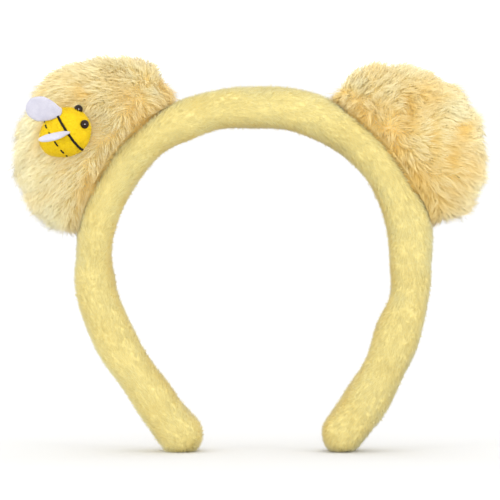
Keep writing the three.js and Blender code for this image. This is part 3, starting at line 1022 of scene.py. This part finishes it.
def buildStripes():
    # One stripe is a row of overlapping stitches and the other a row with gaps. A stitch is a tube
    # whose radius is the square root of 1 less the fourth power of its place, -1 to 1 along it.
    settings = beeSettings
    material = threadMaterial()
    draw = np.random.default_rng(19)
    steps = np.linspace(-1, 1, 9)
    around = np.linspace(0, 2 * math.pi, settings["stitchSides"], endpoint=False)
    profile = np.sqrt(np.maximum(1 - steps**4, 0.02))
    for number, width in enumerate(settings["stitchWidth"]):
        middles = stripeTurns(number, settings["stitches"][number])
        pace = middles[1] - middles[0]
        pieces = []
        for index, turnMiddle in enumerate(middles):
            sway = draw.normal() * 0.08
            turns = turnMiddle + steps * pace * settings["stitchShare"][number] / 2
            line, normals = beePoint(stripeDirections(number, turns), 0.12 * mm)
            tangents = unitRows(np.gradient(line, axis=0))
            across = unitRows(np.cross(tangents, normals))
            line = line + across * (steps * sway * width)[:, None]
            half = width / 2 * profile[:, None, None]
            ring = line[:, None] + half * (
                across[:, None] * np.cos(around)[None, :, None]
                + normals[:, None] * np.sin(around)[None, :, None] * 0.75
            )
            pieces.append(closedGrid(f"stitch_{number}_{index}", ring, material))
        stripe = joined(f"bee_stripe_{number + 1}", pieces)
        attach(stripe, "root")
    print("stripes stitched")


def joined(name, pieces):
    # several pieces as one, with the meshes' own places kept
    for piece in bpy.context.selected_objects:
        piece.select_set(False)
    for piece in pieces:
        piece.select_set(True)
    bpy.context.view_layer.objects.active = pieces[0]
    bpy.ops.object.join()
    pieces[0].name = name
    pieces[0].data.name = name
    return pieces[0]


# Each wing's heading, lift and twist about its own length, in degrees
wingSettings = {
    "left": {"heading": 168, "lift": 12, "twist": -6},
    "right": {"heading": 197, "lift": 28, "twist": 78},
}
wingSteps = 14  # from near a wing's middle to its rim
wingOutline = np.array(
    [
        # along, half width, as shares of the wing's length and half width
        (0.0, 0.30),
        (0.12, 0.46),
        (0.34, 0.80),
        (0.60, 1.00),
        (0.85, 0.78),
        (0.96, 0.42),
        (1.0, 0.0),
    ]
)


def wingMaterial():
    # Pale felt: short crossed fibres in two tones, with a fine bump
    material, nodes, links, shader = newMaterial("wingFelt")
    coordinates = nodes.new("ShaderNodeTexCoord")
    fibre = noiseNode(nodes, links, coordinates.outputs["Object"], 2200, 6.0)
    cloud = noiseNode(nodes, links, coordinates.outputs["Object"], 260, 2.0)
    cloudShare = mapRange(nodes, links, cloud, 0.3, 0.7, 0, 1)
    tone = mixColour(nodes, links, cloudShare, linear(178, 176, 189), linear(192, 190, 200))
    fibreShare = mapRange(nodes, links, fibre, 0.35, 0.65, 0, 0.35)
    colour = mixColour(nodes, links, fibreShare, tone, linear(168, 166, 181))
    links.new(colour, shader.inputs["Base Color"])
    addBump(nodes, links, shader, fibre, 0.4, 0.2 * mm)
    links.new(mapRange(nodes, links, fibre, 0.3, 0.7, 0.75, 0.95), shader.inputs["Roughness"])
    shader.inputs["Sheen Weight"].default_value = 0.3
    return material


def buildWing(side, wing, material):
    # A wing is its outline carried inwards in even steps, out on one face and back on the other.
    # Its half thickness at a step is the square root of 1 less the step's sixth power, which
    # rounds the rim.
    out = headingOf(wing["heading"], wing["lift"])
    across = turned(unitRows(np.cross(front, out)), out, wing["twist"])
    axes = np.stack([out, across, np.cross(out, across)])
    middle, half = fitted(f"bee_wing_{side}", axes)
    rows = splineRows(wingOutline, 40)
    rows[:, 1] = np.maximum(rows[:, 1], 0)
    edge = np.concatenate([rows, rows[-2:0:-1] * [1, -1]])
    edge = edge * [2 * half[0], half[1]] - [half[0], 0]
    centre = np.array([0.1 * half[0], 0])
    steps = np.concatenate([np.linspace(0.06, 1, wingSteps), np.linspace(1, 0.06, wingSteps)[1:]])
    face = np.where(np.arange(len(steps)) < wingSteps, 1.0, -1.0)
    thick = half[2] * (1 - np.minimum(steps, 0.9999) ** 6) ** 0.5 * face
    flat = centre + (edge - centre)[None] * steps[:, None, None]
    thick = np.broadcast_to(thick[:, None, None], (*flat.shape[:2], 1))
    rings = middle + np.concatenate([flat, thick], axis=-1) @ axes
    piece = closedGrid(f"bee_wing_{side}_felt", rings[::-1], material)
    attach(piece, "root")
    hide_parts(f"bee_wing_{side}")


eyeSettings = {"radius": 2.05 * mm, "rings": 24, "sides": 36}


def eyeMaterial():
    # Polished near-black bead with a faint brown depth
    material, nodes, links, shader = newMaterial("eyeBead")
    coordinates = nodes.new("ShaderNodeTexCoord")
    cloud = noiseNode(nodes, links, coordinates.outputs["Object"], 400, 2.0)
    colour = mixColour(nodes, links, cloud, linear(8, 5, 3), linear(26, 16, 10))
    links.new(colour, shader.inputs["Base Color"])
    links.new(mapRange(nodes, links, cloud, 0, 1, 0.06, 0.14), shader.inputs["Roughness"])
    shader.inputs["Specular IOR Level"].default_value = 0.15
    return material


def buildEyes():
    # A bead is a unit sphere scaled to its radius, set so far out of the bee as its solid reaches
    material = eyeMaterial()
    height, turn = sphereSteps(eyeSettings["rings"], eyeSettings["sides"])
    ball = np.stack(
        [np.cos(height) * np.cos(turn), np.cos(height) * np.sin(turn), np.sin(height)], axis=-1
    )
    radius = eyeSettings["radius"]
    for side in ("left", "right"):
        points = nodePoints(f"bee_eye_{side}")
        middle = points.mean(axis=0)
        outward = unitRows(middle - beeMiddle)
        reach = (points @ outward).max()
        middle = middle + outward * (reach - radius - middle @ outward)
        piece = closedGrid(f"bee_eye_{side}_bead", middle + ball * radius, material)
        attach(piece, "root")
        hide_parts(f"bee_eye_{side}")


def buildBee():
    buildBeeBody()
    buildStripes()
    material = wingMaterial()
    for side, wing in wingSettings.items():
        buildWing(side, wing, material)
    buildEyes()
    print("bee: body, stripes, wings and eyes")


# The stage, light and camera


floorHalf = 6.0  # half the width of the white floor


def buildStage():
    material, _, _, shader = newMaterial("floorWhite")
    shader.inputs["Base Color"].default_value = linear(212, 212, 212)
    shader.inputs["Roughness"].default_value = 0.9
    shader.inputs["Specular IOR Level"].default_value = 0.1
    mesh = bpy.data.meshes.new("floor")
    corners = [(floorHalf * x, floorHalf * y, 0) for x, y in ((-1, -1), (1, -1), (1, 1), (-1, 1))]
    mesh.from_pydata(corners, [], [(0, 1, 2, 3)])
    mesh.materials.append(material)
    floor = bpy.data.objects.new("floor", mesh)
    bpy.context.scene.collection.objects.link(floor)


lightSettings = {
    # name: (place, size, watts); the glint falls on the beads alone
    "glint": ((0.14, -1.2, 0.18), 0.55, 60),
    "front": ((0.1, -2.4, 0.2), 0.7, 12),
    "left": ((-1.5, -0.9, 0.2), 0.8, 7),
    "right": ((1.5, -0.9, 0.2), 0.8, 6),
}
lampAim = (0, 0, 0.1)
worldStrength = 1.55


def buildLights():
    aim = Vector(lampAim)
    beads = bpy.data.collections.new("eyeBeads")
    for side in ("left", "right"):
        beads.objects.link(bpy.data.objects[f"bee_eye_{side}_bead"])
    for name, (place, size, watts) in lightSettings.items():
        light = bpy.data.lights.new(name, "AREA")
        light.shape = "DISK"
        light.size = size
        light.energy = watts
        lamp = bpy.data.objects.new(name, light)
        lamp.location = place
        lamp.rotation_euler = (aim - Vector(place)).to_track_quat("-Z", "Y").to_euler()
        bpy.context.scene.collection.objects.link(lamp)
        if name == "glint":
            lamp.light_linking.receiver_collection = beads
    world = bpy.data.worlds.new("studio")
    world.use_nodes = True
    background = world.node_tree.nodes["Background"]
    background.inputs["Color"].default_value = (1, 1, 1, 1)
    background.inputs["Strength"].default_value = worldStrength
    bpy.context.scene.world = world
    bpy.context.scene.view_settings.view_transform = "Standard"


def buildCamera():
    settings = cameraSettings
    aim = Vector(footLine) + Vector((settings["aimSide"], 0, settings["aimHeight"]))
    lift = math.radians(settings["elevation"])
    place = aim + Vector((0, -math.cos(lift), math.sin(lift))) * settings["distance"]
    camera = bpy.data.cameras.new("camera")
    camera.lens = camera.sensor_width * settings["distance"] / settings["frameWidth"]
    camera.clip_start = 0.01
    camera.clip_end = 50
    holder = bpy.data.objects.new("camera", camera)
    holder.location = place
    holder.rotation_euler = (aim - place).to_track_quat("-Z", "Y").to_euler()
    bpy.context.scene.collection.objects.link(holder)
    bpy.context.scene.camera = holder


buildCamera()
buildStage()
buildBand()
buildEars()
buildBee()
buildLights()
